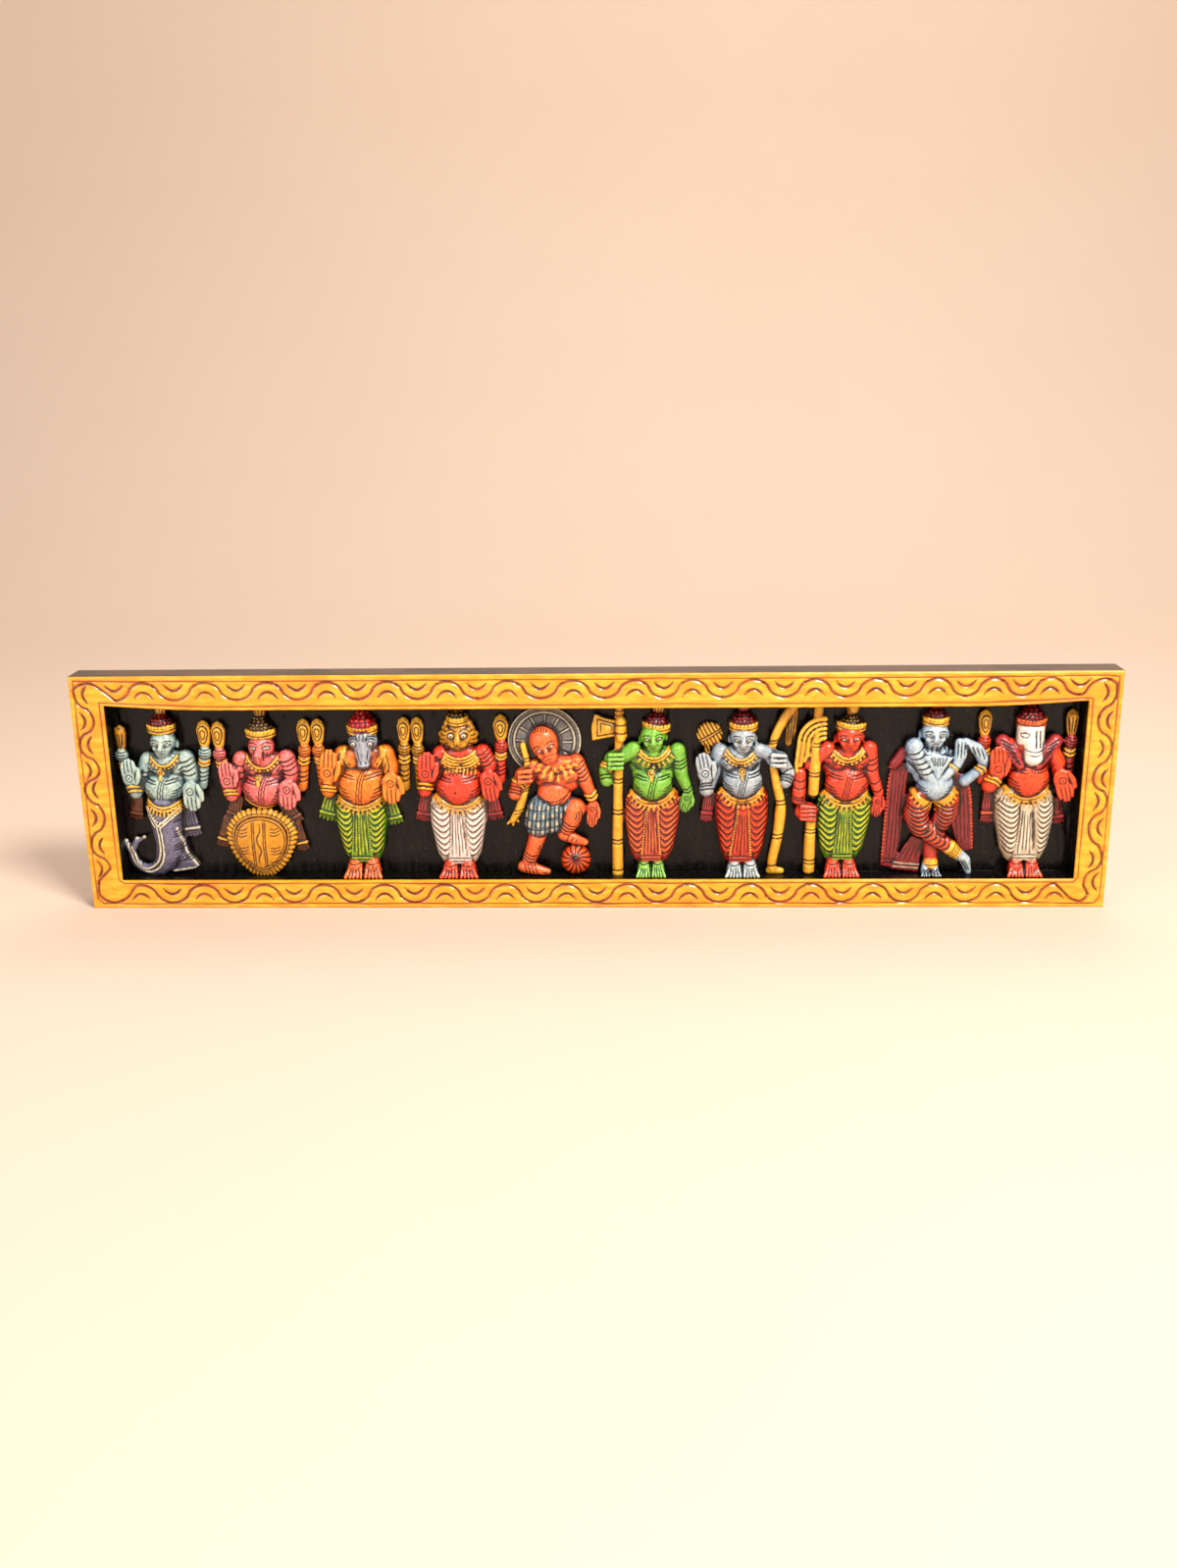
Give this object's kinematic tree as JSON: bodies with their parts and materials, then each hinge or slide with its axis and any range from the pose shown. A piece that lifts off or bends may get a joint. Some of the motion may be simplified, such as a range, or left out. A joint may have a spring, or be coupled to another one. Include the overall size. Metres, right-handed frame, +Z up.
{
  "type": "carved wood panel",
  "caption": "Long, low wood relief panel: a row of standing figures in half round on a sunk dark ground, inside a flat yellow frame carved with a running wave.",
  "frame": {"origin": "centre of the underside's bounding rectangle, on the floor", "axes": "+Z up, +X along the panel's length to the viewer's right, -Y out of the carved face, towards the viewer"},
  "size_m": [0.9144, 0.036, 0.216],
  "materials": {
    "carved_panel": "painted in many colours under a gloss varnish"
  },
  "bodies": {
    "root": {"carved_panel": "carved_panel"}
  },
  "joints": []
}
